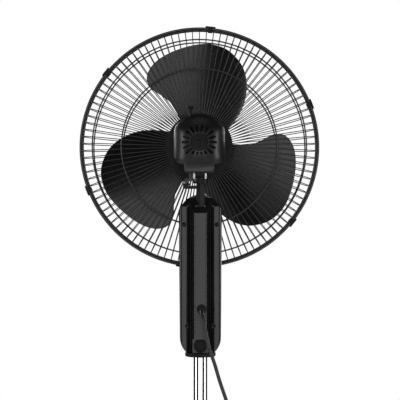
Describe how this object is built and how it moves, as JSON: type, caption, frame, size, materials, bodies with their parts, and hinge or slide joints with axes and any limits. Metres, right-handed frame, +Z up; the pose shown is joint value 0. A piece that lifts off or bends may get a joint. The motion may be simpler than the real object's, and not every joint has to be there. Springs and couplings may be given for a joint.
{
  "type": "pedestal fan",
  "caption": "Tall pedestal fan: wire guard cage, leaf blades, oscillating motor head, slim control box, chrome pole and round base.",
  "frame": {"origin": "on the floor, under the pole's axis at the centre of the round base", "axes": "+Z up; the fan blows towards -Y, so +Y is its rear; +X is on the left when the fan is seen from the rear"},
  "size_m": [0.4399, 0.5605, 1.2624],
  "materials": {
    "plate_steel": "thin powder coat",
    "rubber": "matt",
    "cast": "as cast",
    "gloss_black": "moulded, glossy",
    "box_black": "moulded, satin gloss",
    "matte_black": "moulded, fine texture",
    "zinc": "zinc plated",
    "dark_steel": "blackened",
    "black_paint": "powder coat, satin",
    "chrome": "polished",
    "panel_grey": "glossy",
    "window": "glossy, smoked",
    "board": "varnished",
    "button_red": "fine texture",
    "button_grey": "fine texture",
    "nylon_black": "moulded, satin",
    "lamination": "stacked sheet",
    "copper": "enamelled winding",
    "bronze": "sintered",
    "blade_black": "moulded, semi-gloss",
    "wire_black": "powder coat",
    "badge_grey": "satin with a spun look",
    "trim_black": "semi-gloss",
    "cord_black": "smooth sheath",
    "brass": "bright"
  },
  "bodies": {
    "base": {"base_plate": "plate_steel", "base_feet": "rubber", "base_weight": "cast", "base_cover": "gloss_black", "base_bolt": "zinc", "pole_trim": "matte_black", "outer_pole": "black_paint", "pole_collet": "matte_black", "cord_lead": "cord_black", "cord_coil": "cord_black", "plug": "cord_black", "plug_pins": "brass"},
    "collar": {"height_collar": "matte_black"},
    "column": {"inner_pole": "chrome", "box_collar": "matte_black", "pole_socket": "matte_black", "rear_shell": "box_black", "front_shell": "box_black", "shell_screws": "dark_steel", "pivot_block": "matte_black", "tilt_pin": "zinc", "control_panel": "panel_grey", "display_window": "window", "circuit_board": "board", "strain_relief": "rubber"},
    "knob": {"lock_knob": "matte_black"},
    "button_power": {"power_button": "button_red"},
    "button_speed": {"speed_button": "button_grey"},
    "button_timer": {"timer_button": "button_grey"},
    "button_swing": {"swing_button": "button_grey"},
    "tilt": {"tilt_bracket": "black_paint", "pivot_washer": "zinc", "pivot_screw": "zinc", "link_screw": "zinc"},
    "link": {"crank_link": "dark_steel"},
    "head": {"gearbox": "black_paint", "gearbox_lid": "black_paint", "motor_cover": "gloss_black", "cover_screws": "dark_steel", "cover_studs": "zinc", "front_bell": "black_paint", "rear_bell": "black_paint", "stator": "lamination", "windings": "copper", "bushes": "bronze", "rear_guard_plate": "matte_black", "rear_guard_wires": "wire_black", "rear_guard_rings": "wire_black", "guard_nut": "matte_black", "front_guard_wires": "wire_black", "front_guard_rings": "wire_black", "badge": "badge_grey", "guard_trim": "trim_black", "guard_clips": "matte_black"},
    "rotor": {"shaft": "zinc", "rotor_core": "lamination", "fan_blade": "blade_black", "blade_nut": "blade_black"},
    "crank": {"crank": "nylon_black"},
    "puller": {"swing_knob": "matte_black"}
  },
  "joints": [
    {"name": "height_slide", "type": "slide", "parent": "base", "child": "column", "axis": [0, 0, 1], "range_m": [-0.08, 0.15]},
    {"name": "collar_turn", "type": "hinge", "parent": "base", "child": "collar", "pos_m": [0, 0, 0.55], "axis": [0, 0, 1], "range_deg": [0, 270]},
    {"name": "knob_turn", "type": "hinge", "parent": "column", "child": "knob", "pos_m": [0, 0.02, 0.687], "axis": [0, 1, 0], "range_deg": [0, 270]},
    {"name": "power_press", "type": "slide", "parent": "column", "child": "button_power", "axis": [0, 1, 0], "range_m": [0, 0.0015], "stiffness_N_per_m": 600, "springref_m": -0.0008},
    {"name": "speed_press", "type": "slide", "parent": "column", "child": "button_speed", "axis": [0, 1, 0], "range_m": [0, 0.0015], "stiffness_N_per_m": 600, "springref_m": -0.0008},
    {"name": "timer_press", "type": "slide", "parent": "column", "child": "button_timer", "axis": [0, 1, 0], "range_m": [0, 0.0015], "stiffness_N_per_m": 600, "springref_m": -0.0008},
    {"name": "swing_press", "type": "slide", "parent": "column", "child": "button_swing", "axis": [0, 1, 0], "range_m": [0, 0.0015], "stiffness_N_per_m": 600, "springref_m": -0.0008},
    {"name": "head_tilt", "type": "hinge", "parent": "column", "child": "tilt", "pos_m": [0, 0, 0.932], "axis": [1, 0, 0], "range_deg": [-20, 10]},
    {"name": "head_swivel", "type": "hinge", "parent": "tilt", "child": "head", "pos_m": [0, 0, 0.99], "axis": [0, 0, 1], "range_deg": [-40, 40]},
    {"name": "link_swing", "type": "hinge", "parent": "tilt", "child": "link", "pos_m": [0.026, -0.012, 0.971], "axis": [0, 0, 1], "range_deg": [-15, 15]},
    {"name": "fan_spin", "type": "hinge", "parent": "head", "child": "rotor", "pos_m": [0.0018, -0.025, 1.04], "axis": [0, 1, 0], "continuous": true},
    {"name": "crank_turn", "type": "hinge", "parent": "head", "child": "crank", "pos_m": [0.0168, 0.037, 1], "axis": [0, 0, 1], "continuous": true},
    {"name": "swing_pull", "type": "slide", "parent": "head", "child": "puller", "axis": [0, 0, 1], "range_m": [-0.008, 0]}
  ],
  "couplings": [
    {"joint": "crank_turn", "follows": "fan_spin", "ratio": 0.055556}
  ]
}
